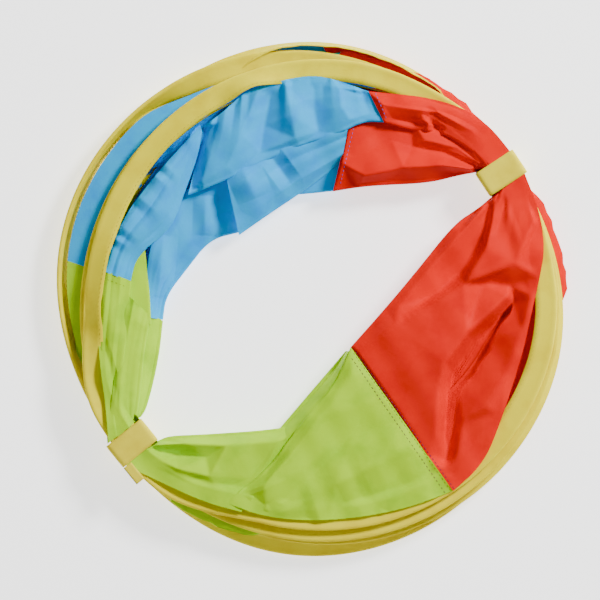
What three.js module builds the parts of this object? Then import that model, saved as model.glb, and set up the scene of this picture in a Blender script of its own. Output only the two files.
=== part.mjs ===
// A pop-up agility tunnel, pulled flat and tied. Six sprung wire hoops lie on each other, each in a
// tape sleeve. The three-colour cloth between two hoops is folded inwards, and two webbing ties hold
// the stack. Millimetres, +Z up, lying on the floor.
import * as THREE from "three";

// Hoops
const HOOPS = 6;
const HOOP_STEPS = 48; // straight pieces in each hoop
const HOOP_RADIUS = 231; // outer edge of the sleeve
const PITCH = 6.5; // height between two hoops of the flat stack
const WIRE_RADIUS = 1.1;
const WIRE_SIDES = 6;
const WIRE_INSET = 3; // wire's centre from the sleeve's outer edge

// Sleeve: tape folded round the wire, open inwards to take the cloth's edge
const TAPE_WIDTH = 18;
const TAPE_HEIGHT = 5;
const TAPE_WALL = 0.6;

// Where each hoop of the stack lies, to the right and up, from the bottom one to the top one
const HOOP_SHIFTS = [
  [0, -18],
  [3, 18],
  [19, -6],
  [-20, 9],
  [14, -3],
  [17, -1],
];
const SHIFT_AT_TIES = 0.3; // share of its shift that a hoop keeps where the ties hold it

// Cloth
const SPANS = HOOPS - 1;
const CLOTH = 0.6;
const CLOTH_STEP_DEG = 5;
const CLOTH_GAP_DEG = 0.4; // between two panels
const LEAF_OFFSET = 0.6; // a leaf's middle from the middle of its hoop
const SEWN_RADIUS = HOOP_RADIUS - 9; // the cloth's edge, inside the sleeve
const PANELS = [
  { colour: "blue", from: 74, to: 172.5 },
  { colour: "green", from: 172.5, to: 306 },
  { colour: "red", from: 306, to: 434 },
];
// The folded cloth's inner edge: corners as angle and distance from the middle
const FOLD_CORNERS = [
  [45, 156],
  [54, 132],
  [78, 106],
  [95, 103],
  [114, 94],
  [137, 90],
  [149, 113],
  [167, 123],
  [180, 139],
  [196, 150],
  [208, 172],
  [230, 172],
  [242, 145],
  [257, 129],
  [265, 100],
  [284, 74],
  [316, 59],
  [359, 79],
  [378, 115],
  [386, 156],
];

// Ties
const TIES = [
  { name: "tie_right", angle: 33.4 },
  { name: "tie_left", angle: 219 },
];
const TIE_LIFT = 2; // the stack's underside above the floor at a tie
const TIE_FLAT_DEG = 9; // half of the arc that is lifted by all of it
const TIE_RAMP_DEG = 14;
const STRAP_WIDTH = 26;
const STRAP = 1.2;
const PATCH = 0.6;
const PATCH_WIDTH = 22;
const GAP = 0.3;
const CLEAR = 1; // between a strap and the stack
const HINGE_INSET = 8; // sewn line of the upper half strap, from the stack's outer side
const TAIL_LENGTH = 20;
const TAIL_WIDTH = 9;

// Worked-out sizes
const SLOT_HEIGHT = TAPE_HEIGHT - 2 * TAPE_WALL;
const STACK_HEIGHT = (HOOPS - 1) * PITCH + TAPE_HEIGHT;
const TIE_AXIS = (TIES[0].angle + TIES[1].angle - 180) / 2;
const TIE_SPREAD = spreadAtTies();
const TIE_OUTSIDE = HOOP_RADIUS + TIE_SPREAD + CLEAR;
const TIE_FOLD = HOOP_RADIUS - TAPE_WIDTH - TIE_SPREAD - CLEAR - CLOTH;
const TIE_TOP = TIE_LIFT + STACK_HEIGHT + CLEAR;

const CLOTH_LOOK = { roughness: 0.6, metalness: 0 };
const MATERIALS = {
  blue: new THREE.MeshStandardMaterial({ color: 0x0cb4e8, ...CLOTH_LOOK }),
  green: new THREE.MeshStandardMaterial({ color: 0xb4dc18, ...CLOTH_LOOK }),
  red: new THREE.MeshStandardMaterial({ color: 0xf03c28, ...CLOTH_LOOK }),
  yellow: new THREE.MeshStandardMaterial({ color: 0xf0e05a, ...CLOTH_LOOK }),
  steel: new THREE.MeshStandardMaterial({ color: 0x9a9c9f, roughness: 0.35, metalness: 1 }),
};

function cosDeg(angle) {
  return Math.cos(THREE.MathUtils.degToRad(angle));
}

function sinDeg(angle) {
  return Math.sin(THREE.MathUtils.degToRad(angle));
}

// The angle from the nearest tie.
function fromTie(angle) {
  const away = TIES.map((tie) => {
    const turn = THREE.MathUtils.euclideanModulo(angle - tie.angle, 360);
    return Math.min(turn, 360 - turn);
  });
  return Math.min(...away);
}

// How much higher the stack lies at an angle because a strap passes below it.
function liftAt(angle) {
  const rampEnd = TIE_FLAT_DEG + TIE_RAMP_DEG;
  return TIE_LIFT * (1 - THREE.MathUtils.smoothstep(fromTie(angle), TIE_FLAT_DEG, rampEnd));
}

// How far hoop number `index` lies from the stack's middle at an angle.
function shiftAt(index, angle) {
  const held = cosDeg(angle - TIE_AXIS) ** 6;
  const share = THREE.MathUtils.lerp(1, SHIFT_AT_TIES, held);
  const [x, y] = HOOP_SHIFTS[index];
  return new THREE.Vector2(x * share, y * share);
}

// The furthest that any hoop lies out or in from the circle, over the arcs the ties hold.
function spreadAtTies() {
  let spread = 0;
  for (const tie of TIES) {
    for (const angle of [tie.angle - TIE_FLAT_DEG, tie.angle, tie.angle + TIE_FLAT_DEG]) {
      for (let index = 0; index < HOOPS; index++) {
        const shift = shiftAt(index, angle);
        const outwards = shift.x * cosDeg(angle) + shift.y * sinDeg(angle);
        spread = Math.max(spread, Math.abs(outwards));
      }
    }
  }
  return spread;
}

function heightOf(index) {
  return TAPE_HEIGHT / 2 + index * PITCH;
}

// Turns a closed outline of [radius, height] into a ring that lies as hoop number `index` does.
function ringOf(outline, index) {
  const points = [...outline, outline[0]].map(([radius, height]) => new THREE.Vector2(radius, height));
  const ring = new THREE.LatheGeometry(points, HOOP_STEPS).rotateX(Math.PI / 2);
  const at = ring.attributes.position;
  for (let i = 0; i < at.count; i++) {
    const angle = THREE.MathUtils.radToDeg(Math.atan2(at.getY(i), at.getX(i)));
    const shift = shiftAt(index, angle);
    const height = heightOf(index) + liftAt(angle);
    at.setXYZ(i, at.getX(i) + shift.x, at.getY(i) + shift.y, at.getZ(i) + height);
  }
  return ring;
}

function wireOf(index) {
  const outline = [];
  for (let side = 0; side < WIRE_SIDES; side++) {
    const turn = (side * 360) / WIRE_SIDES;
    const radius = HOOP_RADIUS - WIRE_INSET + WIRE_RADIUS * cosDeg(turn);
    outline.push([radius, WIRE_RADIUS * sinDeg(turn)]);
  }
  return ringOf(outline, index);
}

function tapeOf(index) {
  const inner = HOOP_RADIUS - TAPE_WIDTH;
  const half = TAPE_HEIGHT / 2;
  const slot = SLOT_HEIGHT / 2;
  const outline = [
    [inner, -half],
    [HOOP_RADIUS, -half],
    [HOOP_RADIUS, half],
    [inner, half],
    [inner, slot],
    [HOOP_RADIUS - TAPE_WALL, slot],
    [HOOP_RADIUS - TAPE_WALL, -slot],
    [inner, -slot],
  ];
  return ringOf(outline, index);
}

// The fold line's distance from the middle: straight runs between the corners, and at a tie the
// cloth is gathered outside the strap.
function foldAt(angle) {
  const [firstAngle, firstRadius] = FOLD_CORNERS[0];
  const turned = firstAngle + THREE.MathUtils.euclideanModulo(angle - firstAngle, 360);
  const closed = [...FOLD_CORNERS, [firstAngle + 360, firstRadius]];
  const next = closed.findIndex(([corner]) => corner > turned);
  const [angleA, radiusA] = closed[next - 1];
  const [angleB, radiusB] = closed[next];
  const chord = radiusA * sinDeg(turned - angleA) + radiusB * sinDeg(angleB - turned);
  const run = (radiusA * radiusB * sinDeg(angleB - angleA)) / chord;
  return fromTie(angle) < TIE_FLAT_DEG ? TIE_FOLD : Math.min(run, TIE_FOLD);
}

// One colour of one span: a leaf from the sleeve below, the fold, and a leaf to the sleeve above.
// The outline's x is 0 at the sewn edge, 1 at the fold's outer face and 2 at its inner face.
function panelOf(span, panel) {
  const low = heightOf(span) + LEAF_OFFSET - CLOTH / 2;
  const high = heightOf(span + 1) - LEAF_OFFSET + CLOTH / 2;
  const outline = new THREE.Shape([
    new THREE.Vector2(0, low),
    new THREE.Vector2(2, low),
    new THREE.Vector2(2, high),
    new THREE.Vector2(0, high),
    new THREE.Vector2(0, high - CLOTH),
    new THREE.Vector2(1, high - CLOTH),
    new THREE.Vector2(1, low + CLOTH),
    new THREE.Vector2(0, low + CLOTH),
  ]);
  const width = panel.to - panel.from - CLOTH_GAP_DEG;
  const steps = Math.ceil(width / CLOTH_STEP_DEG);
  const strip = new THREE.ExtrudeGeometry(outline, { steps, depth: width, bevelEnabled: false });
  const middle = (low + high) / 2;
  const at = strip.attributes.position;
  for (let i = 0; i < at.count; i++) {
    const angle = panel.from + CLOTH_GAP_DEG / 2 + at.getZ(i);
    const fold = foldAt(angle);
    const radius = [SEWN_RADIUS, fold + CLOTH, fold][Math.round(at.getX(i))];
    const sewn = at.getX(i) < 0.5;
    const hoop = at.getY(i) > middle ? span + 1 : span;
    const shift = sewn ? shiftAt(hoop, angle) : new THREE.Vector2();
    const x = radius * cosDeg(angle) + shift.x;
    const y = radius * sinDeg(angle) + shift.y;
    at.setXYZ(i, x, y, at.getY(i) + liftAt(angle));
  }
  return strip;
}

// Extrudes a closed outline of [distance from the middle, height] along a tie's width.
function acrossTie(tie, outline, width, along = 0) {
  const shape = new THREE.Shape(outline.map(([out, height]) => new THREE.Vector2(out, height)));
  const strap = new THREE.ExtrudeGeometry(shape, { depth: width, bevelEnabled: false });
  strap.translate(0, 0, -width / 2 - along);
  strap.rotateX(Math.PI / 2);
  return strap.rotateZ(THREE.MathUtils.degToRad(tie.angle));
}

function boxOutline(low, high) {
  return [
    [low[0], low[1]],
    [high[0], low[1]],
    [high[0], high[1]],
    [low[0], high[1]],
  ];
}

const root = new THREE.Group();

function add(name, geometry, material) {
  const mesh = new THREE.Mesh(geometry, MATERIALS[material].clone());
  mesh.name = name;
  root.add(mesh);
}

for (let index = 0; index < HOOPS; index++) {
  add(`hoop_${index + 1}_wire`, wireOf(index), "steel");
  add(`hoop_${index + 1}_tape`, tapeOf(index), "yellow");
}

for (let span = 0; span < SPANS; span++) {
  for (const panel of PANELS) {
    add(`span_${span + 1}_${panel.colour}`, panelOf(span, panel), panel.colour);
  }
}

// The two half straps of a tie, from the cloth inwards: lower strap, its patch, the upper strap's
// patch, upper strap. Outside the stack their sewn ends meet at half height.
const lowerLeg = TIE_FOLD - CLEAR - STRAP;
const loopPatch = lowerLeg - GAP - PATCH;
const hookPatch = loopPatch - GAP - PATCH;
const upperLeg = hookPatch - GAP - STRAP;
const strapTop = TIE_TOP + STRAP;
const strapBottom = GAP;
const sewnLine = TIE_OUTSIDE - HINGE_INSET;
const half = strapTop / 2;
const outside = TIE_OUTSIDE + STRAP;
const lowerTop = TIE_TOP - CLEAR;
const upperBottom = strapBottom + CLEAR;

const sewnEnd = [
  [sewnLine + GAP, TIE_TOP],
  [TIE_OUTSIDE, TIE_TOP],
  [TIE_OUTSIDE, half + GAP],
  [outside, half + GAP],
  [outside, strapTop],
  [sewnLine + GAP, strapTop],
];
const upperStrap = [
  [sewnLine, TIE_TOP],
  [sewnLine, strapTop],
  [upperLeg, strapTop],
  [upperLeg, upperBottom],
  [upperLeg + STRAP, upperBottom],
  [upperLeg + STRAP, TIE_TOP],
];
const lowerStrap = [
  [lowerLeg, strapBottom],
  [outside, strapBottom],
  [outside, half],
  [TIE_OUTSIDE, half],
  [TIE_OUTSIDE, strapBottom + STRAP],
  [lowerLeg + STRAP, strapBottom + STRAP],
  [lowerLeg + STRAP, lowerTop],
  [lowerLeg, lowerTop],
];
const patchLow = upperBottom + STRAP;
const patchHigh = lowerTop - STRAP;

for (const tie of TIES) {
  add(`${tie.name}_sewn_end`, acrossTie(tie, sewnEnd, STRAP_WIDTH), "yellow");
  add(`${tie.name}_upper_strap`, acrossTie(tie, upperStrap, STRAP_WIDTH), "yellow");
  add(`${tie.name}_lower_strap`, acrossTie(tie, lowerStrap, STRAP_WIDTH), "yellow");
  const hook = boxOutline([hookPatch, patchLow], [hookPatch + PATCH, patchHigh]);
  add(`${tie.name}_hook_patch`, acrossTie(tie, hook, PATCH_WIDTH), "yellow");
  const loop = boxOutline([loopPatch, patchLow], [loopPatch + PATCH, patchHigh]);
  add(`${tie.name}_loop_patch`, acrossTie(tie, loop, PATCH_WIDTH), "yellow");
}

// The doubled tail beside the left tie lies on the hoops, just outside the top one.
const tailOutline = boxOutline([outside - TAIL_WIDTH, TIE_TOP], [outside, TIE_TOP + 2 * STRAP]);
const tailMiddle = STRAP_WIDTH / 2 + GAP + TAIL_LENGTH / 2;
add("tie_left_tail", acrossTie(TIES[1], tailOutline, TAIL_LENGTH, tailMiddle), "yellow");

// The origin is the middle of the footprint, on the floor.
const bounds = new THREE.Box3().setFromObject(root);
const centre = bounds.getCenter(new THREE.Vector3());
for (const mesh of root.children) {
  mesh.geometry.translate(-centre.x, -centre.y, -bounds.min.z);
}

export default root;
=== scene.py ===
# Looks of the flattened and tied agility tunnel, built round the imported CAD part. Sizes are in
# millimetres and become metres when a mesh is made. +X is right and +Y up in the main view, and
# angles are in degrees from +X.
import math

import bpy
import numpy as np
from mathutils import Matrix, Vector
from mathutils.geometry import delaunay_2d_cdt


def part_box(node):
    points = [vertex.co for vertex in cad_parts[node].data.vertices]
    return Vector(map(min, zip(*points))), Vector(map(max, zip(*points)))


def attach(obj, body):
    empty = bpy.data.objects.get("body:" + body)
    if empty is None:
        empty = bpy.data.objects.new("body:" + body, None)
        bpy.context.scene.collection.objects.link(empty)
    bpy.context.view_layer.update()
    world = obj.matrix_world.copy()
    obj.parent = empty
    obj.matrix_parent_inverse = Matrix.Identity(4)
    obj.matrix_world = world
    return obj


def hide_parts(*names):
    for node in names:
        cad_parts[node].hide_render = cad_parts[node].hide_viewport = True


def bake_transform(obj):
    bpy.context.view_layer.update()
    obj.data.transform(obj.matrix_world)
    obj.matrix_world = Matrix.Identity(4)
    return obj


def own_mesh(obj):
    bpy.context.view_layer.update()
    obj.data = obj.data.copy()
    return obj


MM = 0.001

# Hoops and tape
HOOPS = 6
TAPE_WIDTH = 22
TAPE_HALF_HEIGHT = 2.5  # of the CAD sleeve
WIRE_INSET = 3  # wire's centre from the sleeve's outer edge
LEAST_HEIGHT = 0.4  # above the floor
TOP_SHRINK = 4  # the top hoop is sprung a little smaller than the others
TOP_NUDGE = (-1, 5)
SHIFT_AT_TIES = 0.3  # share of its shift that a hoop keeps at the ties
TIE_AXIS = 36.2  # angle of the line through both ties
HOLD_POWER = 6  # how quickly the ties' hold falls off round the hoop
TAPE_STEP = 1.5  # degrees
EDGE_TILT = 64  # how far a sleeve stands up where its hoop is outermost, in degrees
LOOSE_TILT = 34  # the same along the bottom, where the sleeve lies flatter
LOOSE_AT = 275
LOOSE_COSINES = (0.3, 0.8)  # cosines of the angle away where it has faded out, and where it holds
UPRIGHT_TILT = 84  # the same along the top, where the sleeve stands on edge
UPRIGHT_AT = 78
UPRIGHT_COSINES = (0.74, 0.88)
LEAD = (-2, 6)  # how far a hoop reaches past the others where its tilt starts, and where it's full
HIGHEST_RISING = 3  # sleeves up to this hoop tilt upwards, and the ones above it downwards
HALF_SLEEVE = [  # inset from the outer edge and half height
    (22.0, 0.35),
    (16.0, 0.5),
    (9.5, 0.65),
    (5.8, 1.3),
    (3.6, 1.9),
    (2.0, 1.6),
    (1.1, 0.7),
]
# Tilt of the top sleeve round the hoop, in degrees against the angle
TOP_TILTS = [
    (0, 10), (10, 4), (20, -8), (50, -8), (62, 0), (75, 4), (97, 6), (109, 44), (119, 8),
    (140, 2), (158, 12), (172, 34), (184, 44), (194, 10), (202, -8), (232, -8), (246, -2),
    (268, 0), (285, 0), (300, 4), (340, 4), (360, 10),
]
# Waves of the tape's inner edge: height, and waves round the hoop
FINE_PUCKER = 0.5
FINE_WAVES = (31, 47, 83)
BROAD_PUCKER = 0.7
BROAD_WAVES = (7, 12)

# Stitches
STITCH_PITCH = 4.2
STITCH_LENGTH = 2.7
STITCH_WIDTH = 0.84
STITCH_RISE = 0.35  # of its middle
STITCH_SINK = 0.4  # of its sides below its middle
STITCH_INSET = 3.0  # from the tape's inner edge
STITCH_LIFT = 0.5  # above the tape's middle

# Stack
TIES = [
    {"name": "tie_right", "angle": 33.4},
    {"name": "tie_left", "angle": 219.0},
]
TIED_REACH = 236  # how far out the ties hold the top hoop's outer edge
TIED_ARC = (10, 36)  # degrees from a tie where that holds fully, and where it has faded out
TIE_LIFT = 2  # how far the lower straps raise the sleeves
TIE_FLAT = 9  # degrees from a tie that are raised in full
TIE_RAMP = 14  # degrees over which that fades out
EXTEND = 343  # how far one span opens

# Panels: where each colour starts and ends at the bottom hoop and at the top hoop
PANELS = [
    {"colour": "blue", "bottom": (91, 172.5), "top": (74, 172.5)},
    {"colour": "green", "bottom": (172.5, 306), "top": (172.5, 306)},
    {"colour": "red", "bottom": (306, 451), "top": (306, 434)},
]
# The folded cloth's inner edge as the top span has it: angle and distance from the middle
FOLD_START = 26
FOLD_CORNERS = [
    (26, 198), (40, 198), (48, 150), (60, 135), (80, 118), (100, 118), (120, 108), (137, 100),
    (150, 122), (168, 134), (182, 150), (198, 160), (208, 182), (213, 199), (225, 199), (232, 178),
    (244, 152), (258, 136), (266, 108), (284, 82), (316, 68), (345, 84), (362, 104), (378, 140),
    (386, 198),
]

# Where cloth stands out between two hoops: span, middle of the arc, half the arc, reach
PUFFS = [
    (3, 66, 34, 29), (4, 50, 15, 27), (2, 13, 24, 27), (1, 262, 26, 24), (4, 246, 22, 27),
    (2, 200, 22, 26), (3, 300, 22, 26),
]
FULL_PUFF = 0.4  # share of half the arc that has the full reach

SECTOR = 20  # degrees of cloth that move as one when the tunnel opens
SECTORS = 360 // SECTOR


def smoothstep(value, low, high):
    t = np.clip((np.asarray(value, float) - low) / (high - low), 0, 1)
    return t * t * (3 - 2 * t)


def eased(position, corners):
    """The value at a position, going smoothly from each (position, value) corner to the next."""
    places, values = np.array(corners, float).T
    index = np.clip(np.searchsorted(places, position, side="right") - 1, 0, len(places) - 2)
    share = smoothstep((position - places[index]) / (places[index + 1] - places[index]), 0, 1)
    return values[index] + (values[index + 1] - values[index]) * share


def ripple(position, counts, seed):
    """A smooth pseudo-random wave between about -1 and 1."""
    phases = np.random.default_rng(seed).uniform(0, 2 * math.pi, len(counts))
    waves = [np.sin(position * count + phase) for count, phase in zip(counts, phases)]
    return sum(waves) / math.sqrt(len(counts))


def degrees_apart(angle, other):
    return np.abs((angle - other + 180) % 360 - 180)


def from_tie(angle):
    """Degrees from the nearest tie."""
    return np.minimum(*[degrees_apart(angle, tie["angle"]) for tie in TIES])


def lift_at(angle):
    """How far the stack is raised by the lower straps."""
    return TIE_LIFT * (1 - smoothstep(from_tie(angle), TIE_FLAT, TIE_FLAT + TIE_RAMP))


def direction_at(angle):
    """The direction in plan of an angle."""
    turned = np.radians(angle)
    return np.stack([np.cos(turned), np.sin(turned)], -1)


def angle_of(plan):
    return np.degrees(np.arctan2(plan[..., 1], plan[..., 0]))


def run_of(line):
    """The distance along a line to each of its points."""
    return np.concatenate([[0], np.cumsum(np.linalg.norm(np.diff(line, axis=0), axis=1))])


def points_along(line, at):
    """The points at some distances along a line."""
    run = run_of(line)
    return np.stack([np.interp(at, run, values) for values in line.T], -1)


# ---- meshes


def grid_faces(rows, columns, close_rows=False, close_columns=False):
    """Quads of a grid of points, wrapped round where it is closed."""
    row_ends = rows if close_rows else rows - 1
    column_ends = columns if close_columns else columns - 1
    i, j = np.meshgrid(np.arange(row_ends), np.arange(column_ends), indexing="ij")
    i2, j2 = (i + 1) % rows, (j + 1) % columns
    corners = [i * columns + j, i2 * columns + j, i2 * columns + j2, i * columns + j2]
    return np.stack(corners, -1).reshape(-1, 4)


def make_piece(name, points, faces, material, normals=None):
    """An object from points in millimetres and lists of corners, smooth shaded."""
    mesh = bpy.data.meshes.new(name)
    corners = [[int(corner) for corner in face] for face in faces]
    mesh.from_pydata((np.asarray(points) * MM).tolist(), [], corners)
    mesh.polygons.foreach_set("use_smooth", [True] * len(mesh.polygons))
    if normals is not None:
        mesh.normals_split_custom_set_from_vertices(np.asarray(normals).tolist())
    mesh.materials.append(material)
    mesh.update()
    piece = bpy.data.objects.new(name, mesh)
    bpy.context.scene.collection.objects.link(piece)
    return piece


def grid_normals(grid):
    """The normal at each point of a grid, so that pieces cut from it shade as one."""
    along = np.gradient(grid, axis=0)
    across = np.gradient(grid, axis=1)
    normal = np.cross(along, across)
    return normal / np.maximum(np.linalg.norm(normal, axis=2, keepdims=True), 1e-9)


def face_areas(points, faces):
    """The areas of quads."""
    corner = points[faces]
    one = np.cross(corner[:, 1] - corner[:, 0], corner[:, 2] - corner[:, 0])
    two = np.cross(corner[:, 2] - corner[:, 0], corner[:, 3] - corner[:, 0])
    return (np.linalg.norm(one, axis=1) + np.linalg.norm(two, axis=1)) / 2


# ---- materials


def linear(colour):
    """sRGB 0-255 to the linear values that a shader takes."""
    values = []
    for channel in colour:
        c = channel / 255
        values.append(c / 12.92 if c <= 0.04045 else ((c + 0.055) / 1.055) ** 2.4)
    return (*values, 1.0)


def add_node(nodes, kind, values=()):
    """A shader node with some of its inputs set."""
    node = nodes.new(f"ShaderNode{kind}")
    for name, value in dict(values).items():
        node.inputs[name].default_value = value
    return node


def fabric(name, colour, shade, thread=0.9, rough=0.55, wrinkle=0.22, through=0.12):
    """Woven cloth with a thread's pitch, small wrinkles, and a share of light that goes through."""
    material = bpy.data.materials.new(name)
    material.use_nodes = True
    nodes, links = material.node_tree.nodes, material.node_tree.links
    nodes.clear()
    out = add_node(nodes, "OutputMaterial")
    surface = add_node(nodes, "BsdfPrincipled", {"Roughness": rough, "Specular IOR Level": 0.06})
    place = add_node(nodes, "TexCoord")

    patches = add_node(nodes, "TexNoise", {"Scale": 45, "Detail": 6})
    links.new(place.outputs["Object"], patches.inputs["Vector"])
    mix = nodes.new("ShaderNodeMix")
    mix.data_type = "RGBA"
    mix.inputs["A"].default_value = linear(shade)
    mix.inputs["B"].default_value = linear(colour)
    spread = add_node(nodes, "MapRange", {"From Min": 0.25, "From Max": 0.55})
    links.new(patches.outputs["Fac"], spread.inputs["Value"])
    links.new(spread.outputs["Result"], mix.inputs["Factor"])
    links.new(mix.outputs["Result"], surface.inputs["Base Color"])

    weave = add_node(nodes, "Math")
    weave.operation = "MULTIPLY"
    bands = 1 / (thread * MM) / (2 * math.pi) * 2
    for index, direction in enumerate(("X", "Y")):
        threads = add_node(nodes, "TexWave", {"Scale": bands, "Distortion": 1.5, "Detail": 1})
        threads.bands_direction = direction
        links.new(place.outputs["Object"], threads.inputs["Vector"])
        links.new(threads.outputs["Fac"], weave.inputs[index])
    fine = add_node(nodes, "Bump", {"Strength": 0.12, "Distance": 0.15 * MM})
    links.new(weave.outputs["Value"], fine.inputs["Height"])
    creases = add_node(
        nodes, "TexNoise", {"Scale": 240, "Detail": 5, "Roughness": 0.6, "Distortion": 0.8}
    )
    links.new(place.outputs["Object"], creases.inputs["Vector"])
    coarse = add_node(nodes, "Bump", {"Strength": wrinkle, "Distance": 0.8 * MM})
    links.new(creases.outputs["Fac"], coarse.inputs["Height"])
    links.new(fine.outputs["Normal"], coarse.inputs["Normal"])
    links.new(coarse.outputs["Normal"], surface.inputs["Normal"])

    glow = add_node(nodes, "BsdfTranslucent")
    links.new(mix.outputs["Result"], glow.inputs["Color"])
    links.new(coarse.outputs["Normal"], glow.inputs["Normal"])
    both = add_node(nodes, "MixShader", {"Fac": through})
    links.new(surface.outputs["BSDF"], both.inputs[1])
    links.new(glow.outputs["BSDF"], both.inputs[2])
    links.new(both.outputs["Shader"], out.inputs["Surface"])
    return material


DENSE = 0.02  # share of light that goes through webbing and thread
CLOTHS = {
    "blue": fabric("blue_cloth", (0, 184, 252), (0, 160, 246)),
    "green": fabric("green_cloth", (184, 234, 0), (160, 214, 0)),
    "red": fabric("red_cloth", (242, 28, 8), (226, 14, 4)),
}
TAPE = fabric("tape", (248, 232, 30), (236, 214, 16), thread=1.4, rough=0.5, wrinkle=0.2)
WEBBING = fabric(
    "webbing", (240, 222, 50), (222, 200, 34), thread=2.2, rough=0.7, wrinkle=0.1, through=DENSE
)
PATCH = fabric(
    "patch", (214, 196, 70), (190, 170, 50), thread=1.0, rough=0.9, wrinkle=0.6, through=DENSE
)
THREADS = {}
for name, colour, shade in (
    ("blue", (30, 110, 190), (20, 90, 170)),
    ("green", (150, 178, 20), (120, 150, 10)),
    ("yellow", (214, 196, 50), (196, 176, 40)),
    ("dark", (110, 60, 90), (90, 50, 80)),
):
    THREADS[name] = fabric(f"{name}_thread", colour, shade, thread=0.5, through=DENSE)

# ---- frame and hoops

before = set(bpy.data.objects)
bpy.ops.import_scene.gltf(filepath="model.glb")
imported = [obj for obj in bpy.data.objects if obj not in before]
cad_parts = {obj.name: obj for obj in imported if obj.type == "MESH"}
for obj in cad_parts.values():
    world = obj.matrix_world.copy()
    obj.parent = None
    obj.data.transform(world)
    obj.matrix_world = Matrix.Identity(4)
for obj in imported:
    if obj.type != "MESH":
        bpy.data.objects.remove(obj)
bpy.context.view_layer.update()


def read_hoop(number):
    """A hoop's middle, radius and height from its CAD sleeve."""
    low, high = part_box(f"hoop_{number}_tape")
    middle = (low + high) / 2 / MM
    radius = (high.x - low.x) / 2 / MM
    hoop = {
        "name": f"hoop_{number}",
        "shift": np.array([middle.x, middle.y]),
        "radius": radius,
        "height": low.z / MM + TAPE_HALF_HEIGHT,
    }
    if number == HOOPS:
        hoop["shift"] = hoop["shift"] + np.array(TOP_NUDGE)
        hoop["radius"] = radius - TOP_SHRINK
    return hoop


HOOP = {number: read_hoop(number) for number in range(1, HOOPS + 1)}


def shift_of(hoop, angle):
    """A hoop's shift from the middle, which is smaller near the ties."""
    held = np.cos(np.radians(angle - TIE_AXIS)) ** HOLD_POWER
    share = 1 - (1 - SHIFT_AT_TIES) * held
    return share[..., None] * hoop["shift"]


def plan_of(hoop, angle, inset):
    """Where a point of the hoop lies, from its angle and its inset from the hoop's outer edge."""
    angle = np.asarray(angle, float)
    direction = direction_at(angle)
    plan = direction * np.asarray(hoop["radius"] - inset)[..., None] + shift_of(hoop, angle)
    if hoop["name"] == f"hoop_{HOOPS}":
        edge = np.linalg.norm(direction * hoop["radius"] + shift_of(hoop, angle), axis=-1)
        held = 1 - smoothstep(from_tie(angle), *TIED_ARC)
        plan = plan + direction * ((TIED_REACH - edge) * held)[..., None]
    return plan


def tilt_of(number, angle):
    """The sleeve's tilt in degrees: plus where its inner edge stands up, minus where it hangs."""
    angle = np.asarray(angle, float)
    if number == HOOPS:
        return eased(angle % 360, TOP_TILTS)
    reach = {}
    for other, hoop in HOOP.items():
        reach[other] = np.linalg.norm(plan_of(hoop, angle, 0.0), axis=-1)
    others = np.max([reach[other] for other in reach if other != number], axis=0)
    loose = smoothstep(np.cos(np.radians(angle - LOOSE_AT)), *LOOSE_COSINES)
    upright = smoothstep(np.cos(np.radians(angle - UPRIGHT_AT)), *UPRIGHT_COSINES)
    most = EDGE_TILT + (LOOSE_TILT - EDGE_TILT) * loose + (UPRIGHT_TILT - EDGE_TILT) * upright
    tilt = most * smoothstep(reach[number] - others, *LEAD)
    return tilt if number <= HIGHEST_RISING else -tilt


def sleeve_point(number, angle, inset, rise):
    """A point of a sleeve: its place across the tape and its height above the tape's middle."""
    hoop = HOOP[number]
    tilt = np.radians(tilt_of(number, angle))
    inwards = inset - WIRE_INSET
    turned = np.radians(angle)
    slack = (inwards / TAPE_WIDTH) ** 2
    fine = FINE_PUCKER * ripple(turned, FINE_WAVES, number)
    broad = BROAD_PUCKER * ripple(turned, BROAD_WAVES, number + 9)
    pucker = slack * (fine + broad)
    flat_inset = WIRE_INSET + inwards * np.cos(tilt) - (rise + pucker) * np.sin(tilt)
    height = hoop["height"] + inwards * np.sin(tilt) + (rise + pucker) * np.cos(tilt)
    plan = plan_of(hoop, angle, flat_inset)
    lift = lift_at(angle) if number < HOOPS else 0
    z = np.maximum(height + lift, LEAST_HEIGHT)
    return np.concatenate([plan, z[..., None]], -1)


def add_tape(number):
    section = HALF_SLEEVE + [(inset, -rise) for inset, rise in reversed(HALF_SLEEVE)]
    angles = np.arange(0, 360, TAPE_STEP)
    angle, inset = np.meshgrid(angles, [p[0] for p in section], indexing="ij")
    _, rise = np.meshgrid(angles, [p[1] for p in section], indexing="ij")
    points = sleeve_point(number, angle, inset, rise)
    faces = grid_faces(len(angles), len(section), close_rows=True, close_columns=True)
    piece = make_piece(f"hoop_{number}_sleeve", points.reshape(-1, 3), faces, TAPE)
    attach(piece, f"hoop_{number}")
    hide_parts(f"hoop_{number}_tape", f"hoop_{number}_wire")
    return piece


def stitch_boxes(starts, ends, sides, normals):
    """Low threads that lie on a surface, each from a start to an end and widest in the middle."""
    points, faces = [], []
    for start, end, side, normal in zip(starts, ends, sides, normals):
        middle = (start + end) / 2 + normal * STITCH_RISE
        out = side * STITCH_WIDTH / 2
        sunk = middle - normal * STITCH_SINK
        base = len(points)
        points += [start, end, sunk + out, sunk - out, middle]
        ring = [0, 2, 1, 3]
        for a, b in zip(ring, ring[1:] + ring[:1]):
            faces.append((base + a, base + b, base + 4))
    return np.array(points), faces


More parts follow.
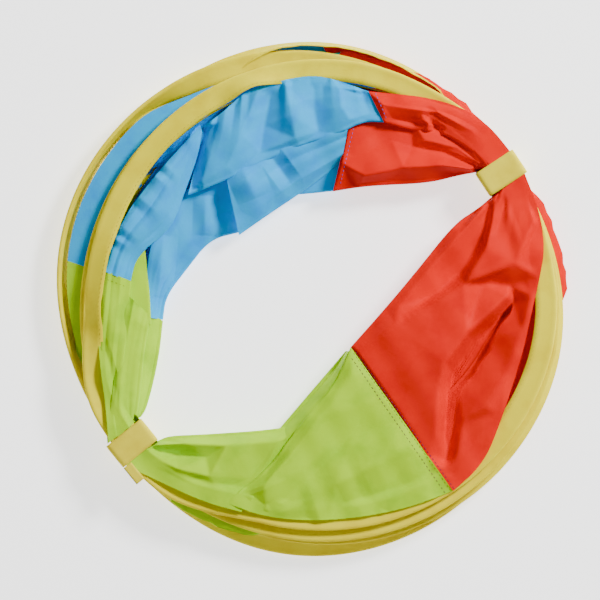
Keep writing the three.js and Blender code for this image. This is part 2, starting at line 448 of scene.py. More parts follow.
def add_tape_stitches(number):
    hoop = HOOP[number]
    count = int(2 * math.pi * (hoop["radius"] - TAPE_WIDTH) / STITCH_PITCH)
    first = np.arange(count) * 360 / count
    last = first + STITCH_LENGTH / STITCH_PITCH * 360 / count
    inset = np.full(count, TAPE_WIDTH - STITCH_INSET)
    rise = np.full(count, STITCH_LIFT)
    start = sleeve_point(number, first, inset, rise)
    end = sleeve_point(number, last, inset, rise)
    inner = sleeve_point(number, first, inset + 1, rise)
    side = inner - start
    side /= np.linalg.norm(side, axis=1, keepdims=True)
    normal = np.cross(end - start, side)
    normal /= np.linalg.norm(normal, axis=1, keepdims=True)
    normal *= np.where(normal[:, 2:] < 0, -1, 1)
    points, faces = stitch_boxes(start, end, side, normal)
    piece = make_piece(f"hoop_{number}_stitches", points, faces, THREADS["yellow"])
    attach(piece, f"hoop_{number}")


for number in range(1, HOOPS + 1):
    add_tape(number)
    add_tape_stitches(number)

# ---- cloth between the hoops

SEWN_MARGIN = 1  # from the sewn line to the tape's inner edge
WALL_ROWS = 10
WALL_STEP = 2  # degrees
WALL_RIPPLE = 0.8
WALL_WAVES = (37, 61, 89)


def panel_edges(panel, level):
    """The two angles of a panel's edges at a share of the stack's height."""
    low, high = np.array(panel["bottom"]), np.array(panel["top"])
    return low + (high - low) * level


def sewn_inset(number, angle):
    """How far inside the sleeve's outer edge the cloth is sewn on."""
    tilt = np.radians(tilt_of(number, angle))
    return WIRE_INSET + (TAPE_WIDTH - WIRE_INSET - SEWN_MARGIN) * np.cos(tilt)


def puff_of(span, angle):
    """How far a span's cloth pushes out between its hoops."""
    total = np.zeros_like(angle)
    for puffed, middle, half, reach in PUFFS:
        if puffed == span:
            away = degrees_apart(angle, middle)
            total = total + reach * (1 - smoothstep(away, half * FULL_PUFF, half))
    return total


def add_wall(span, panel):
    """The cloth right beside the hoops, which stands between them."""
    low_edges = panel_edges(panel, (span - 1) / (HOOPS - 1))
    high_edges = panel_edges(panel, span / (HOOPS - 1))
    columns = int((high_edges[1] - high_edges[0]) / WALL_STEP)
    low_angle = np.linspace(*low_edges, columns)
    high_angle = np.linspace(*high_edges, columns)
    below, above = HOOP[span], HOOP[span + 1]
    low_plan = plan_of(below, low_angle, sewn_inset(span, low_angle))
    high_plan = plan_of(above, high_angle, sewn_inset(span + 1, high_angle))
    grid = np.zeros((WALL_ROWS, columns, 3))
    for row, t in enumerate(np.linspace(0, 1, WALL_ROWS)):
        slack = math.sin(math.pi * t)
        angle = low_angle + (high_angle - low_angle) * t
        inwards = -direction_at(angle)
        fold = WALL_RIPPLE * ripple(np.radians(angle), WALL_WAVES, span * 7 + row // 4)
        plan = low_plan + (high_plan - low_plan) * t
        grid[row, :, :2] = plan + inwards * (slack * (fold - puff_of(span, angle)))[:, None]
        grid[row, :, 2] = below["height"] + (above["height"] - below["height"]) * t
    points = grid.reshape(-1, 3)
    faces = grid_faces(WALL_ROWS, columns)
    colour = panel["colour"]
    piece = make_piece(f"span_{span}_{colour}_wall", points, faces, CLOTHS[colour])
    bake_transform(piece)
    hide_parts(f"span_{span}_{colour}")


def outwards(angle):
    turned = math.radians(angle)
    return Vector((math.cos(turned), math.sin(turned), 0))


def gather(piece, body):
    """The piece rides a hoop, with a mesh of its own."""
    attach(piece, body)
    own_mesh(piece)


def fold_radius(angle):
    corners, radii = zip(*FOLD_CORNERS)
    return np.interp(FOLD_START + (angle - FOLD_START) % 360, corners, radii)


PLEATS = 24  # in each leaf
PLEAT_HEIGHT = 2.2
PLEAT_RAMP = 6  # a pleat is full from one part in this many of the leaf
LEAF_COLUMNS = 10
LEAF_START = 1.5  # from the sewn line
LEAF_HALF_GAP = 0.45  # half the distance between a span's two leaves
SET_BACK = {1: 10, 2: 40, 3: 66, 4: 88}  # how far behind the visible edge each hidden fold stays
LARGEST_FOLD = 200
FOLD_WANDER = 2
FOLD_WAVES = (3, 7)
LEAST_SHARE = 0.8  # cloth with less than this share of the real cut takes its own area as its cut


def add_hidden_leaf(span, colour, start, end):
    """A sector of a lower span: a pleated upper leaf in to the fold, and a lower one back out."""
    angle = np.linspace(start, end, LEAF_COLUMNS)
    below, above = HOOP[span], HOOP[span + 1]
    wander = FOLD_WANDER * ripple(np.radians(angle), FOLD_WAVES, span)
    fold = np.minimum(fold_radius(angle) + SET_BACK[span] + wander, LARGEST_FOLD)
    fold_plan = direction_at(angle) * fold[:, None]
    middle = (below["height"] + above["height"]) / 2
    share = np.linspace(0, 1, PLEATS * 4 + 1)  # each crest and valley is a row of points
    grid = []
    high_sewn = plan_of(above, angle, sewn_inset(span + 1, angle) + LEAF_START)
    low_sewn = plan_of(below, angle, sewn_inset(span, angle) + LEAF_START)
    reach = [np.linalg.norm(plan, axis=-1)[:, None] for plan in (high_sewn, low_sewn)]
    sewn = np.where(reach[0] < reach[1], high_sewn, low_sewn)
    for side in (1, -1):
        for t in share if side == 1 else share[::-1]:
            plan = sewn + (fold_plan - sewn) * t
            full = min(1, PLEAT_RAMP * t, PLEAT_RAMP * (1 - t))
            pleat = PLEAT_HEIGHT * math.sin(t * PLEATS * 2 * math.pi) * full
            z = middle + side * LEAF_HALF_GAP + pleat + lift_at(angle)
            grid.append(np.concatenate([plan, z[:, None]], -1))
    grid = np.array(grid)
    points = grid.reshape(-1, 3)
    faces = grid_faces(*grid.shape[:2])
    centre = (start + end) / 2
    name = f"span_{span}_{colour}_fold_{int(round(centre)) % 360:03d}"
    piece = make_piece(name, points, faces, CLOTHS[colour])
    gather(piece, f"hoop_{span}")
    arc = HOOP[span]["radius"] * math.radians(end - start)
    area = face_areas(points, faces).sum()
    cut = EXTEND * arc
    if area / cut < LEAST_SHARE:
        cut = area


for span in range(1, HOOPS):
    for panel in PANELS:
        add_wall(span, panel)
        if span == HOOPS - 1:
            continue
        first, last = panel_edges(panel, (span - 0.5) / (HOOPS - 1))
        sectors = math.ceil((last - first) / SECTOR)
        bounds = np.linspace(first, last, sectors + 1)
        for start, end in zip(bounds, bounds[1:]):
            add_hidden_leaf(span, panel["colour"], start, end)

# ---- the top span's lobes

# Each lobe is a piece of the top span between two edges, given as x and y. The outer edge lies by
# the tape, and the inner one is a fold. Its name starts with its colour, and the rest is:
#   high, low   heights of the outer and the inner edge
#   back        how wide the layer is that turns back under the inner edge
#   bulge       how far the middle rises, in a lobe without folds
#   folds       crests and valleys as x, y and height, with flat facets between them
#   fan         count and height of the folds along it, and fade, their share from end to end
#   gathers     count and height of the folds that run in from the tape
#   creases     single ridges and dips: height, half width, and line
#   drop        how far the first end hangs down
LOBES = [
    dict(
        name="blue_under", high=25, low=12, bulge=1, back=20,
        outer=[(-153, -18), (-158, 30), (-146, 74), (-118, 108), (-70, 128)],
        inner=[(-141, -20), (-138, 3), (-117, 30), (-96, 57), (-67, 64)],
        fan=(1, 2),
        creases=[(4, 12, [(-100, 100), (-101, 60)]), (4, 14, [(-140, 62), (-146, 0)])],
    ),
    dict(
        name="blue_sliver", high=24, low=15, bulge=1, back=18,
        outer=[(-30, 124), (0, 138), (38, 154)],
        inner=[(-14, 100), (0, 101), (27, 104)],
        fan=(1, 1),
    ),
    dict(
        name="blue_second", high=30, low=25, bulge=8, back=26,
        outer=[(-82, 124), (-46, 143), (0, 162), (38, 172)],
        inner=[(-68, 61), (-38, 82), (-8, 102), (30, 130)],
        fan=(1.5, 4),
        creases=[(5, 18, [(-66, 128), (-52, 96)]), (-5, 12, [(-40, 140), (-18, 110)])],
    ),
    dict(
        name="blue_left", high=38, low=34, bulge=8, back=24,
        outer=[(-198, 27), (-182, 74), (-147, 121), (-105, 166)],
        inner=[(-172, 16), (-166, 42), (-133, 66), (-121, 99), (-108, 134), (-103, 160)],
        fan=(2, 3), gathers=(7, 4),
    ),
    dict(
        name="blue_big", high=38, low=38, back=30,
        outer=[(-101, 166), (-81, 181), (-62, 199), (-29, 209), (-2, 214), (19, 212), (56, 199)],
        inner=[
            (-117, 99), (-101, 105), (-71, 118), (-46, 130), (-10, 147), (26, 157), (51, 170),
            (71, 169),
        ],
        folds=[
            [(-102, 160, 26), (-109, 134, 26), (-114, 108, 30)],
            [(-88, 168, 40), (-97, 136, 44), (-104, 112, 42)],
            [(-50, 198, 42), (-66, 158, 49), (-80, 126, 46)],
            [(-36, 200, 34), (-44, 166, 33), (-48, 140, 36)],
            [(-22, 204, 45), (-18, 176, 49), (-14, 154, 45)],
            [(4, 205, 36), (4, 180, 38), (8, 160, 38)],
            [(28, 202, 45), (30, 184, 48), (38, 172, 44)],
            [(48, 196, 37), (58, 178, 38)],
        ],
        fan=(1, 1.5), gathers=(8, 3),
    ),
    dict(
        name="red_inner", high=31, low=26, back=30,
        outer=[(38, 172), (71, 178), (97, 172), (143, 160), (171, 128)],
        inner=[(22, 103), (46, 107), (70, 109), (114, 111), (141, 118), (157.5, 121)],
        folds=[
            [(30, 130, 36), (50, 140, 34), (78, 152, 33)],
            [(52, 118, 42), (90, 126, 45), (126, 128, 43), (154, 124, 38)],
            [(98, 146, 30), (124, 142, 30), (158, 128, 33)],
            [(110, 152, 38), (140, 145, 38), (162, 130, 38)],
        ],
        fan=(3, 2.5), fade=[(0, 0), (0.6, 0.3), (1, 1)],
    ),
    dict(
        name="red_outer", high=39, low=38, back=20,
        outer=[(56, 199), (86, 196), (112, 193), (145, 184), (172, 166), (192, 141)],
        inner=[(71, 169), (97, 161), (118, 161), (143, 151), (170, 127)],
        folds=[
            [(70, 186, 44), (96, 182, 47), (124, 178, 46), (156, 160, 45), (180, 138, 41)],
            [(80, 172, 38), (104, 168, 36), (122, 168, 38), (140, 160, 38), (168, 136, 39)],
        ],
        fan=(2, 2), fade=[(0, 0.4), (1, 1)],
        creases=[
            (-6, 7, [(114, 178), (124, 166), (117, 160)]),
            (4, 6, [(104, 172), (114, 168), (112, 162)]),
        ],
    ),
    dict(
        name="red_main", high=40, low=30, back=60,
        outer=[
            (205.5, 120.5), (220, 84), (225, 48), (220, 20), (213, -10), (204, -52), (182, -120),
            (166, -158), (137, -184),
        ],
        inner=[(173, 97), (160, 86), (138, 72), (103, 28), (72, -9), (39, -46)],
        folds=[
            [(166, 89, 40), (141, 60, 41), (112, 27, 40), (84, -6, 39)],
            [(172, 93, 36), (165, 55, 29), (145, 25, 27), (122, 4, 31)],
            [
                (177, 98, 41), (175, 78, 44), (167, 48, 46), (147, 14, 46), (82, -24, 44),
                (46, -54, 38),
            ],
            [(188, 96, 38), (184, 78, 40)],
            [(199, 100, 43), (215, 77, 49), (197, 34, 48), (149, 15.5, 46.5)],
            [(205, 104, 36), (220, 70, 35), (220, 34, 36)],
            [(166, 15, 33), (192, 12, 33)],
            [(190, 3, 42), (151, -32, 47), (130, -62, 47), (124, -90, 44), (122, -128, 41)],
            [(196, -4, 24), (158, -42, 18), (138, -72, 16), (133, -126, 17), (131, -156, 26)],
            [
                (212, 2, 41), (203, -30, 41), (188, -72, 43), (168, -103, 45), (146, -118, 36),
                (137, -170, 40),
            ],
            [(178, -110, 40), (160, -150, 38), (142, -178, 39)],
            [(60, -75, 38), (90, -117, 38), (114, -151, 38)],
            [(92, -62, 42), (104, -92, 41)],
        ],
        fan=(5, 2.5), fade=[(0, 1), (0.12, 0.8), (0.25, 0.1), (1, 0)],
    ),
    dict(
        name="green_left_end", high=36, low=22, back=40,
        outer=[(-177, -159), (-140, -177), (-100, -195), (-66, -204)],
        inner=[(-145, -135.5), (-135, -131), (-104, -130), (-31, -125), (10, -116)],
        folds=[
            [(-150, -140, 36), (-120, -138, 40), (-80, -140, 41), (-30, -136, 38)],
            [(-152, -144, 32), (-128, -150, 29), (-100, -152, 33)],
            [(-158, -150, 40), (-126, -163, 44), (-96, -170, 42), (-58, -172, 35)],
            [(-150, -160, 34), (-118, -176, 33), (-88, -184, 36)],
        ],
        fan=(3, 2.5), fade=[(0, 1), (0.2, 0.8), (0.5, 0.1), (1, 0)],
    ),
    dict(
        name="green_flank", high=37, low=22, bulge=0, back=18,
        outer=[(37, -50), (22, -84), (-10, -122), (-24, -136)],
        inner=[(34, -50), (17, -70), (-2, -92), (-30, -125)],
    ),
    dict(
        name="green_main", high=39, low=36, back=30,
        outer=[(137, -184), (86, -203), (19, -213), (-41, -210), (-81, -195)],
        inner=[(39, -46), (22, -84), (-14, -125), (-39, -161), (-76, -190)],
        folds=[
            [(58, -76, 38), (88, -118, 38), (112, -151, 38)],
            [(40, -72, 41), (10, -112, 45), (-16, -146, 46), (-44, -178, 46)],
            [(62, -98, 37), (40, -130, 35), (12, -160, 36), (-20, -188, 38)],
            [(96, -142, 42), (64, -158, 46), (24, -178, 46), (-12, -198, 42)],
            [(116, -172, 35), (76, -184, 34), (34, -198, 36)],
        ],
        fan=(2, 1.5), fade=[(0, 0.1), (0.4, 0.5), (1, 1)], gathers=(4, 1.5),
    ),
    dict(
        name="green_under", high=24, low=13, bulge=2, back=16,
        outer=[(-157, -12), (-160, -56), (-168, -100), (-172, -118)],
        inner=[(-141, -21), (-145, -58), (-156, -104), (-162, -113)],
    ),
    dict(
        name="green_facet", high=31, low=27, bulge=0, back=10,
        outer=[(-174, 36), (-175, 8), (-175, -24)],
        inner=[(-158, 47), (-154, 14), (-152, -24)],
    ),
    dict(
        name="green_second", high=34, low=30, bulge=6, back=20,
        outer=[(-177, 6), (-184, -40), (-188, -81), (-192, -112), (-184, -132)],
        inner=[(-153, -16), (-159, -53), (-163, -92), (-165, -108), (-167, -117)],
        fan=(1, 6), fade=[(0, 0.5), (1, 1)], drop=3,
    ),
    dict(
        name="green_outer", high=39, low=37, bulge=5, back=18,
        outer=[(-198, 28), (-201, -20), (-203, -42), (-200, -74), (-196, -100), (-193, -138)],
        inner=[(-171, 17), (-174, -30), (-181, -81), (-187, -112), (-183, -130)],
        fan=(2, 5), fade=[(0, 0.3), (1, 1)],
        creases=[(-7, 12, [(-203, -48), (-192, -90), (-190, -128)])],
    ),
]
LOBE_ROWS = 150
LOBE_COLUMNS = 64
CORNER_CUTS = 3  # passes that round an edge's corners
CORNER_CUT = 0.25  # share of each side that a pass cuts off
SAME_CORNER = 0.1  # corners this close are one
NONE = 1e-6  # widths and areas below this count as none

# The cloth's shape
FALL_POWER = 1.3
BULGE_POWER = 0.8
FOLD_DEPTH = 1.5
FOLD_ROUNDING = 3  # passes that round the crests and valleys between facets
FOLD_WIDTHS = (6, 40)  # a lobe's widths where folds begin to show, and where they're full
EDGE_SHARE = 0.14  # share of a lobe over which a fan builds up or a drop ends
SHARPNESS = 0.96  # of the folds' crests and valleys
# Waves that keep the folds uneven: height, count, and the mix of waves
FAN_DRIFT = (0.12, 3, (1, 2.3))
FAN_WANDER = (0.1, 9, (1, 1.7))
FAN_SWING = (0.25, 5, (1, 1.9))
GATHER_WANDER = (0.25, 17, (1, 1.6))
GATHER_SLANT = 0.3
CREASE_ENDS = 0.02  # share of a crease at each end that keeps the same height
CREASE_ROUNDING = 0.01
# Unevenness of all the cloth: height, wave lengths over x and y, and the mix of waves
UNEVENNESS = [(0.8, 17, 29, (1, 1.7, 2.9)), (0.6, -23, 11, (1, 1.4))]

# Where it meets the ties and the top sleeve
BY_TIE = (6, 22)  # degrees from a tie where its strap holds the cloth, and where that ends
TIED_HEIGHT = 40.2  # of cloth under a strap
OVER_SLEEVE = (TAPE_WIDTH + 1, TAPE_WIDTH + 9)  # insets where cloth leaves the sleeve
SLEEVE_CLEAR = 38.8  # cloth above this height clears the sleeve
OVER_FROM = 38  # lobes that start this high lie over the sleeve
COVERED = [(6, 60), (194, 262)]  # arcs where cloth lies over the sleeve
COVER_HEIGHT = 41
COVER_RAMP = 5
SOFT_TOP = 44  # cloth rises more and more slowly from this height
TOP_ROOM = 8
LEAST_TOP = 4
LOBE_HEIGHTS = (1.5, 52)

# The inner edge and the layer turned back under it
CURL_RADIUS = 3.2
CURL_SHARE = 0.4  # the most of a lobe's width that the curl takes
CURL_STEPS = 8
BACK_STEPS = 10
BACK_SHARE = 0.85  # the most of a lobe's width that the layer takes
BACK_SAG = 2.5
BACK_WAVE = (0.8, 5)  # height and turn

LEAST_PIECE = 12  # narrower sectors of a lobe join their neighbours


def resample(corners, count):
    """A smoothed line through the corners, as evenly spaced points."""
    corners = np.array(corners, float)
    for _ in range(CORNER_CUTS):
        after = corners[:-1] * (1 - CORNER_CUT) + corners[1:] * CORNER_CUT
        before = corners[:-1] * CORNER_CUT + corners[1:] * (1 - CORNER_CUT)
        inside = np.stack([after, before], 1).reshape(-1, 2)
        corners = np.concatenate([corners[:1], inside, corners[-1:]])
    return points_along(corners, np.linspace(0, run_of(corners)[-1], count))


def line_distance(plan, corners):
    """Distance from each point to a line of corners, and how far along it the nearest point is."""
    best = np.full(plan.shape[:-1], np.inf)
    along = np.zeros(plan.shape[:-1])
    corners = np.array(corners, float)
    lengths = np.linalg.norm(np.diff(corners, axis=0), axis=1)
    done = 0
    for start, end, length in zip(corners, corners[1:], lengths):
        direction = (end - start) / length
        t = np.clip((plan - start) @ direction, 0, length)
        away = np.linalg.norm(plan - start - t[..., None] * direction, axis=-1)
        nearer = away < best
        best = np.where(nearer, away, best)
        along = np.where(nearer, (done + t) / lengths.sum(), along)
        done += length
    return best, along


def folded_heights(lobe, plan):
    """Heights of flat facets between a lobe's edges and its folds, a little rounded."""
    lines = [
        [(x, y, lobe["high"]) for x, y in lobe["outer"]],
        [(x, y, lobe["low"]) for x, y in lobe["inner"]],
        *lobe["folds"],
    ]
    points, edges = [], []
    for line in lines:
        for index, point in enumerate(line):
            if index:
                edges.append((len(points) - 1, len(points)))
            points.append(point)
    given = np.array(points, float)
    flat = [Vector((x, y)) for x, y, _ in points]
    corners, _, triangles, sources, _, _ = delaunay_2d_cdt(flat, edges, [], 0, SAME_CORNER)
    heights = np.zeros(len(corners))
    for index, (corner, source) in enumerate(zip(corners, sources)):
        away = np.linalg.norm(given[:, :2] - np.array(corner), axis=1)
        nearest = source[0] if source else int(np.argmin(away))
        heights[index] = given[nearest, 2]
    at = np.array([list(corner) for corner in corners])
    z = np.full(plan.shape[:-1], np.nan)
    for a, b, c in triangles:
        one, two = at[b] - at[a], at[c] - at[a]
        whole = one[0] * two[1] - one[1] * two[0]
        if abs(whole) < NONE:
            continue
        way = plan - at[a]
        s = (way[..., 0] * two[1] - way[..., 1] * two[0]) / whole
        t = (one[0] * way[..., 1] - one[1] * way[..., 0]) / whole
        inside = (s >= -NONE) & (t >= -NONE) & (s + t <= 1 + NONE)
        level = heights[a] + s * (heights[b] - heights[a]) + t * (heights[c] - heights[a])
        z = np.where(inside & np.isnan(z), level, z)
    across = np.linspace(lobe["high"], lobe["low"], plan.shape[1])[None, :]
    z = np.where(np.isnan(z), across, z)
    for _ in range(FOLD_ROUNDING):
        padded = np.pad(z, 1, mode="edge")
        around = padded[:-2, 1:-1] + padded[2:, 1:-1] + padded[1:-1, :-2] + padded[1:-1, 2:]
        z = (z + around / 4) / 2
    return z


def facets(position):
    """A wave of flat slopes between slightly rounded crests and valleys, from -0.5 to 0.5."""
    return np.arcsin(SHARPNESS * np.sin(2 * math.pi * position)) / math.pi


def top_inset(plan):
    """How far points lie inside the top sleeve's outer edge."""
    angle = angle_of(plan)
    edge = np.linalg.norm(plan_of(HOOP[HOOPS], angle, 0.0), axis=-1)
    return edge - np.linalg.norm(plan, axis=-1)


def uneven(wave, position, seed):
    height, count, mix = wave
    return height * ripple(position * count, mix, seed)


def lobe_grid(lobe, seed):
    """A lobe's points: rows from end to end, and columns from the tape in, round and back under."""
    outer = resample(lobe["outer"], LOBE_ROWS)
    inner = resample(lobe["inner"], LOBE_ROWS)
    u = np.linspace(0, 1, LOBE_COLUMNS)
    v = np.linspace(0, 1, LOBE_ROWS)
    way = inner - outer
    width = np.maximum(np.linalg.norm(way, axis=1, keepdims=True), NONE)
    way = way / width
    radius = np.minimum(CURL_RADIUS, width * CURL_SHARE)
    inner = inner - way * radius
    plan = outer[:, None] + (inner - outer)[:, None] * u[None, :, None]
    vv, uu = np.meshgrid(v, u, indexing="ij")
    room = smoothstep(width, *FOLD_WIDTHS)
    if "folds" in lobe:
        z = folded_heights(lobe, plan)
    else:
        z = lobe["high"] + (lobe["low"] - lobe["high"]) * uu ** FALL_POWER
        z = z + lobe["bulge"] * np.sin(math.pi * uu ** BULGE_POWER) ** BULGE_POWER * room
    if "fan" in lobe:
        count, height = lobe["fan"]
        wander = uneven(FAN_DRIFT, vv, seed) + uneven(FAN_WANDER, uu, seed + 3)
        swing = 1 - FAN_SWING[0] + uneven(FAN_SWING, vv, seed + 5)
        fade = eased(vv, lobe.get("fade", [(0, 1), (1, 1)]))
        inside = smoothstep(uu, 0, EDGE_SHARE)
        z = z + FOLD_DEPTH * height * facets(uu * count + wander) * swing * fade * room * inside
    if "gathers" in lobe:
        count, height = lobe["gathers"]
        wander = uneven(GATHER_WANDER, vv, seed + 7) + GATHER_SLANT * uu
        z = z + FOLD_DEPTH * height * facets(vv * count + wander) * (1 - uu) ** 2 * room
    for rise, spread, corners in lobe.get("creases", []):
        away, along = line_distance(plan, corners)
        ends = np.sqrt(np.sin(math.pi * np.clip(along, CREASE_ENDS, 1 - CREASE_ENDS)))
        slope = 1 + CREASE_ROUNDING - np.sqrt((away / spread) ** 2 + CREASE_ROUNDING)
        z = z + FOLD_DEPTH * rise * np.maximum(0, slope) * ends
    angle = angle_of(plan)
    by_tie = 1 - smoothstep(from_tie(angle), *BY_TIE)
    over_sleeve = 1 - smoothstep(top_inset(plan), *OVER_SLEEVE)
    z = z + (TIED_HEIGHT - z) * by_tie * over_sleeve
    if lobe["high"] >= OVER_FROM:
        z = z + (np.maximum(z, SLEEVE_CLEAR) - z) * over_sleeve * (1 - by_tie)
    turned = angle % 360
    for start, end in COVERED:
        begun = smoothstep(turned, start - COVER_RAMP, start + COVER_RAMP)
        ended = smoothstep(turned, end - COVER_RAMP, end + COVER_RAMP)
        share = begun * (1 - ended) * over_sleeve * (1 - by_tie)
        z = z + (np.maximum(z, COVER_HEIGHT) - z) * share
    z = z - lobe.get("drop", 0) * (1 - smoothstep(vv, 0, EDGE_SHARE))
    for index, (height, over_x, over_y, mix) in enumerate(UNEVENNESS):
        position = plan[..., 0] / over_x + plan[..., 1] / over_y
        z = z + height * ripple(position, mix, seed + 11 + 2 * index)
    rounded_off = SOFT_TOP + TOP_ROOM * np.tanh((z - SOFT_TOP) / TOP_ROOM)
    z = np.where(z > SOFT_TOP, rounded_off, np.maximum(z, LEAST_TOP))
    top = np.concatenate([plan, z[..., None]], -1)

    curl = []
    edge = top[:, -1]
    flat_way = np.concatenate([way, np.zeros((LOBE_ROWS, 1))], 1)
    up = np.array([0, 0, 1.0])
    for step in range(1, CURL_STEPS + 1):
        turn = math.pi * step / CURL_STEPS
        curl.append(edge + flat_way * radius * math.sin(turn) - up * radius * (1 - math.cos(turn)))
    back = np.minimum(lobe["back"], width * BACK_SHARE)
    for step in range(1, BACK_STEPS + 1):
        t = step / BACK_STEPS
        sag = BACK_SAG * t + BACK_WAVE[0] * np.sin(t * BACK_WAVE[1])
        curl.append(curl[CURL_STEPS - 1] - flat_way * back * t - up * sag)
    grid = np.concatenate([top, np.stack(curl, 1)], 1)
    grid[..., 2] = np.clip(grid[..., 2], *LOBE_HEIGHTS)
    return grid


def colour_of(lobe):
    return lobe.split("_")[0]


def add_lobe(lobe, seed):
    """A lobe as one piece for each sector of the ring that it reaches into."""
    grid = lobe_grid(lobe, seed)
    colour = colour_of(lobe["name"])
    normals = grid_normals(grid)
    points = grid.reshape(-1, 3)
    faces = grid_faces(*grid.shape[:2])
    area = face_areas(points, faces)
    length = np.linalg.norm(np.diff(grid, axis=1), axis=2).sum(1).mean()
    middle = points[faces].mean(1)
    sector = (angle_of(middle) % 360 // SECTOR).astype(int)
    sizes = {index: area[sector == index].sum() / length for index in np.unique(sector)}
    for index, size in sizes.items():
        near = [other for other in sizes if sizes[other] >= LEAST_PIECE]
        if size < LEAST_PIECE and near:
            steps = [min((other - index) % SECTORS, (index - other) % SECTORS) for other in near]
            sector[sector == index] = near[int(np.argmin(steps))]
    for index in np.unique(sector):
        chosen = faces[sector == index]
        used, renumbered = np.unique(chosen, return_inverse=True)
        name = f"span_5_{lobe['name']}_{index:02d}"
        cut = renumbered.reshape(-1, 4)
        shading = normals.reshape(-1, 3)[used]
        piece = make_piece(name, points[used], cut, CLOTHS[colour], shading)
        gather(piece, f"hoop_{HOOPS}")
    return grid


GRIDS = {}
for seed, lobe in enumerate(LOBES):
    GRIDS[lobe["name"]] = add_lobe(lobe, seed * 20)

# ---- seams


# Name, lobe, row of the lobe's grid, thread, and angle from the middle
SEAMS = [
    ("seam_red_main", "red_main", -2, "dark", 306),
    ("seam_green_main", "green_main", 1, "green", 306),
    ("seam_green_double", "green_main", 5, "dark", 304),
    ("seam_red_inner", "red_inner", 6, "blue", 74),
    ("seam_red_outer", "red_outer", 6, "blue", 70),
    ("seam_green_outer", "green_outer", 7, "green", 175),
]
SEAM_START = 1
SEAM_LIFT = 0.25

for name, lobe, row, thread, angle in SEAMS:
    line = GRIDS[lobe][row, :LOBE_COLUMNS]
    starts = np.arange(SEAM_START, run_of(line)[-1] - STITCH_LENGTH, STITCH_PITCH)
    up = np.tile([0, 0, 1.0], (len(starts), 1))
    start = points_along(line, starts) + up * SEAM_LIFT
    end = points_along(line, starts + STITCH_LENGTH) + up * SEAM_LIFT
    side = np.cross(up, end - start)
    side /= np.linalg.norm(side, axis=1, keepdims=True)
    points, faces = stitch_boxes(start, end, side, up)
    piece = make_piece(name, points, faces, THREADS[thread])
    gather(piece, f"hoop_{HOOPS}")

# ---- ties

STRAP_WIDTH = 26
STRAP_THICK = 1.2
STRAP_CORNER = 4
# Lines of the straps, patches and tail, as distance from the middle and height
UPPER_STRAP = [(240.4, 21.4), (240.4, 41.1), (198.7, 41.1), (198.7, 2.4)]
LOWER_STRAP = [(202, 39.2), (202, 1.0), (240.4, 1.0), (240.4, 20.4)]
HOOK_PATCH = [(199.8, 4.0), (199.8, 37.5)]
LOOP_PATCH = [(200.8, 4.0), (200.8, 37.5)]
TAIL = [(231.5, 41.8), (240.8, 41.8)]
PATCH_WIDTH = 22
PATCH_THICK = 0.6
TAIL_WIDTH = 20
TAIL_THICK = 2.2
TAIL_ASIDE = 23.6
SEWN_LINE = 231.8  # where the upper strap folds, as distance from the middle
SEWN_HALF = 3.5  # the strap bends over this much to each side of it

CORNER_POINTS = 7
RIBBON_STEP = 1.5
RIBBON_COLUMNS = 9
RIBBON_THINNING = 0.45  # at its edges
RIBBON_POWER = 8  # how close to the edges that stays


def rounded(corners):
    """A line through the corners with each turn rounded."""
    corners = [np.array(c, float) for c in corners]
    line = [corners[0]]
    for before, corner, after in zip(corners, corners[1:], corners[2:]):
        a = corner + (before - corner) / np.linalg.norm(before - corner) * STRAP_CORNER
        b = corner + (after - corner) / np.linalg.norm(after - corner) * STRAP_CORNER
        for t in np.linspace(0, 1, CORNER_POINTS):
            line.append((1 - t) ** 2 * a + 2 * t * (1 - t) * corner + t * t * b)
    line.append(corners[-1])
    return np.array(line)


def ribbon(name, tie, line, width, thick, material, aside=0.0):
    """A strap along a line at a tie, with width across the line, moved aside along the ring."""
    length = run_of(line)[-1]
    line = points_along(line, np.linspace(0, length, max(2, int(length / RIBBON_STEP))))
    direction = np.gradient(line, axis=0)
    direction /= np.linalg.norm(direction, axis=1, keepdims=True)
    normal = np.stack([-direction[:, 1], direction[:, 0]], -1)
    across = np.linspace(-1, 1, RIBBON_COLUMNS)
    section = [(s, 1) for s in across] + [(s, -1) for s in across[::-1]]
    points = []
    for here, out in zip(line, normal):
        for s, side in section:
            edge = 1 - RIBBON_THINNING * abs(s) ** RIBBON_POWER
            place = here + out * side * thick / 2 * edge
            points.append((place[0], aside - s * width / 2, place[1]))
    points = np.array(points)
    turned = math.radians(tie["angle"])
    x = points[:, 0] * math.cos(turned) - points[:, 1] * math.sin(turned)
    y = points[:, 0] * math.sin(turned) + points[:, 1] * math.cos(turned)
    points = np.stack([x, y, points[:, 2]], -1)
    count = len(section)
    faces = [tuple(face) for face in grid_faces(len(line), count, close_columns=True)]
    faces += [tuple(range(count)), tuple(range(len(points) - count, len(points)))[::-1]]
    return make_piece(name, points, faces, material)


for tie in TIES:
    name = tie["name"]
    out = outwards(tie["angle"])
    piece = ribbon(f"{name}_upper", tie, rounded(UPPER_STRAP), STRAP_WIDTH, STRAP_THICK, WEBBING)
    start, end = out * (SEWN_LINE + SEWN_HALF) * MM, out * (SEWN_LINE - SEWN_HALF) * MM
    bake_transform(piece)
    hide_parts(f"{name}_sewn_end", f"{name}_upper_strap")
    piece = ribbon(f"{name}_lower", tie, rounded(LOWER_STRAP), STRAP_WIDTH, STRAP_THICK, WEBBING)
    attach(piece, "hoop_1")
    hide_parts(f"{name}_lower_strap")
    for patch, line, body in (("hook", HOOK_PATCH, name), ("loop", LOOP_PATCH, "hoop_1")):
        line = np.array(line)
        piece = ribbon(f"{name}_{patch}", tie, line, PATCH_WIDTH, PATCH_THICK, PATCH)
        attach(piece, body)
        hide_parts(f"{name}_{patch}_patch")

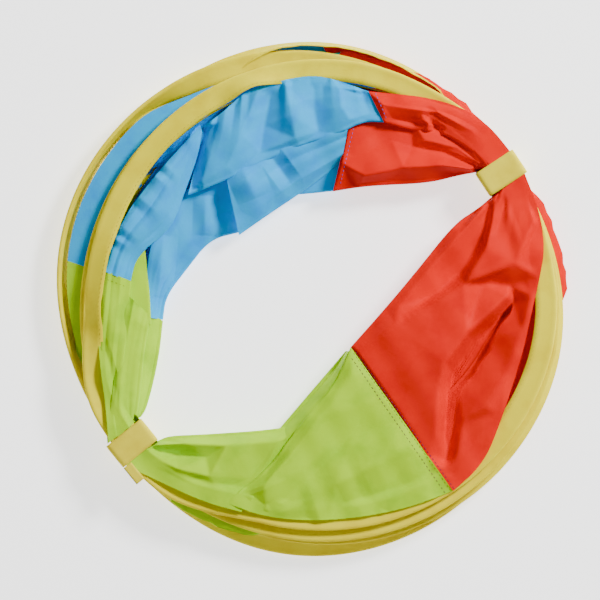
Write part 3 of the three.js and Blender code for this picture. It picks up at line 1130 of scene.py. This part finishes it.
tail = ribbon(
    "tie_left_tail_loop", TIES[1], np.array(TAIL), TAIL_WIDTH, TAIL_THICK, WEBBING, TAIL_ASIDE
)
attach(tail, "hoop_6")
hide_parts("tie_left_tail")

# ---- floor, light, camera

FLOOR_HALF = 120000
PAPER = 0.92
PAPER_GLOW = 1.7  # brings the paper up to white
WHITE = (1, 1, 1, 1)

paper = bpy.data.materials.new("paper")
paper.use_nodes = True
paper_surface = paper.node_tree.nodes["Principled BSDF"]
paper_surface.inputs["Base Color"].default_value = (PAPER, PAPER, PAPER, 1)
paper_surface.inputs["Roughness"].default_value = 0.9
paper_surface.inputs["Emission Color"].default_value = WHITE
paper_surface.inputs["Emission Strength"].default_value = PAPER_GLOW
floor_corners = np.array([(-1, -1, 0), (1, -1, 0), (1, 1, 0), (-1, 1, 0)]) * FLOOR_HALF
floor = make_piece("floor", floor_corners, [(0, 1, 2, 3)], paper)

world = bpy.data.worlds.new("studio")
world.use_nodes = True
background = world.node_tree.nodes["Background"]
background.inputs["Color"].default_value = WHITE
background.inputs["Strength"].default_value = 0.3
bpy.context.scene.world = world


def add_light(name, place, size, power):
    """A square light that faces the tunnel, placed and sized in metres and in watts."""
    data = bpy.data.lights.new(name, "AREA")
    data.shape = "SQUARE"
    data.size = size
    data.energy = power
    lamp = bpy.data.objects.new(name, data)
    lamp.location = place
    lamp.rotation_mode = "QUATERNION"
    lamp.rotation_quaternion = (-Vector(place)).to_track_quat("-Z", "Y")
    bpy.context.scene.collection.objects.link(lamp)


add_light("key", place=(2.2, 1.9, 2.2), size=0.8, power=228)
add_light("fill", place=(-2.0, -0.6, 3.0), size=2.0, power=12)

# The camera looks straight down. Its places are in metres.
CAMERA_AT = (-0.0096, -0.001, 20)
CLOTH_HEIGHT = 0.035
SEEN_WIDTH = 0.5748  # of the picture, at the cloth's height
SENSOR = 36
CLIP_END = 100
data = bpy.data.cameras.new("camera")
data.sensor_width = SENSOR
data.lens = SENSOR * (CAMERA_AT[2] - CLOTH_HEIGHT) / SEEN_WIDTH
data.clip_end = CLIP_END
camera = bpy.data.objects.new("camera", data)
camera.location = CAMERA_AT
bpy.context.scene.collection.objects.link(camera)
bpy.context.scene.camera = camera
